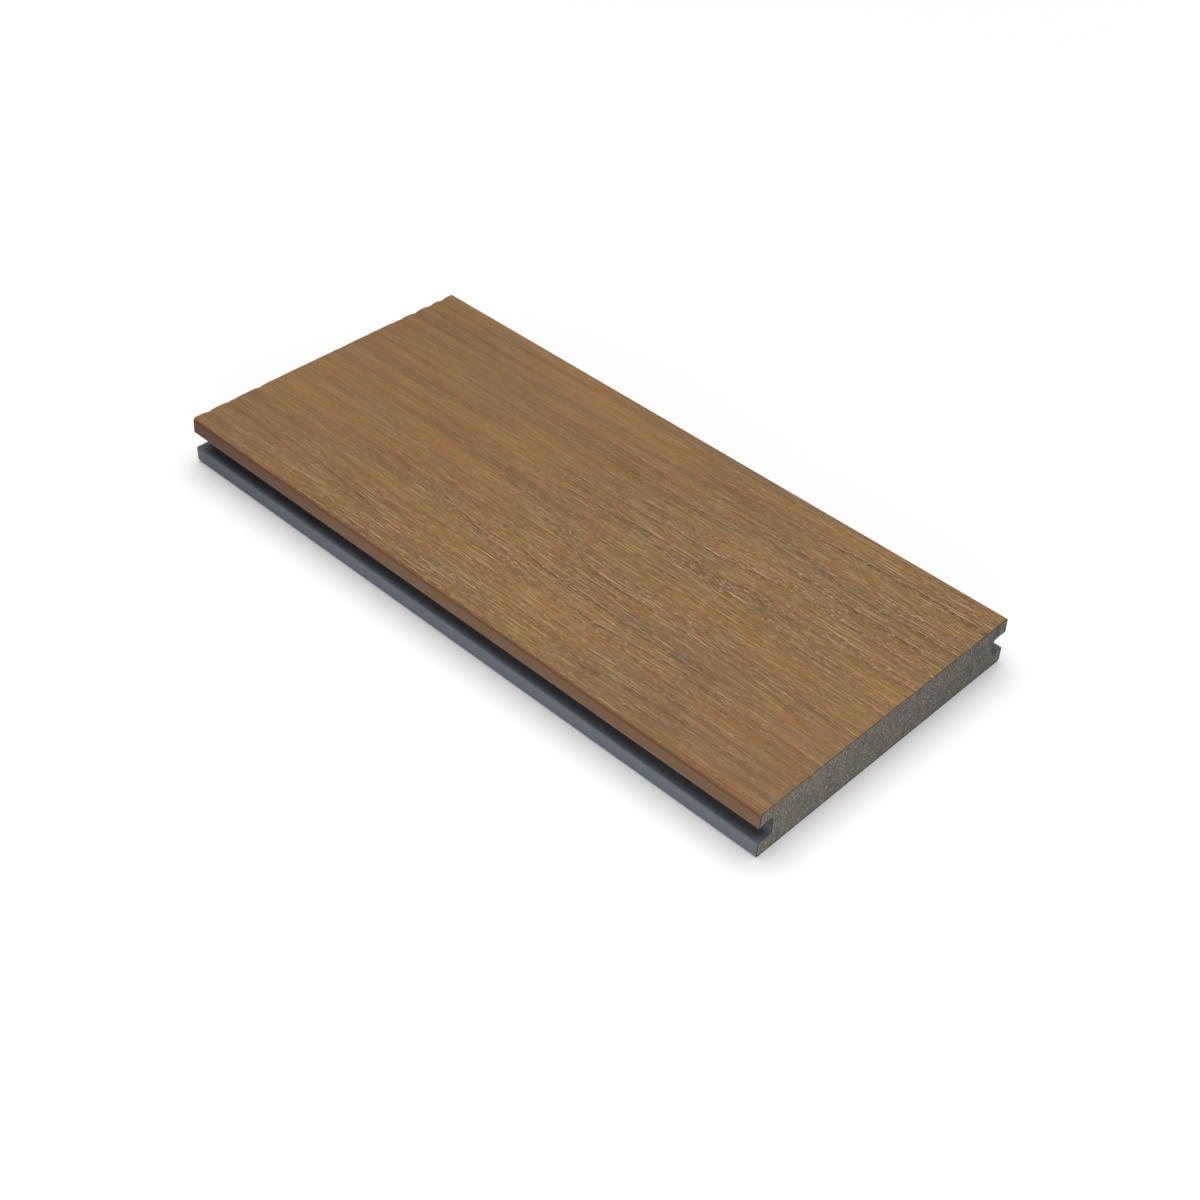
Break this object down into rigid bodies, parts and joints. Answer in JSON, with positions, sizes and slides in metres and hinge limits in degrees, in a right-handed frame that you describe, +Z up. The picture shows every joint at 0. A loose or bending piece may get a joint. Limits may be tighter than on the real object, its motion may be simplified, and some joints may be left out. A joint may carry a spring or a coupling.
{
  "type": "decking board",
  "caption": "Short length of solid capped composite decking board with an embossed wood-grain face and a clip groove along each long side.",
  "frame": {"origin": "centre of the underside, on the surface that the board lies on", "axes": "+X along the board's length, +Y across its width, +Z up through its thickness to the embossed walking face"},
  "size_m": [0.3, 0.14, 0.021],
  "materials": {
    "composite_core": "sawn wood-plastic composite, matte and finely speckled",
    "brown_cap": "co-extruded polymer cap in streaked browns, embossed with wood grain on the face and smooth on the sides",
    "grey_cap": "co-extruded polymer cap in blue-grey, smooth and satin"
  },
  "bodies": {
    "root": {"core": "composite_core", "wood_grain_cap": "brown_cap", "underside_cap": "grey_cap"}
  },
  "joints": []
}
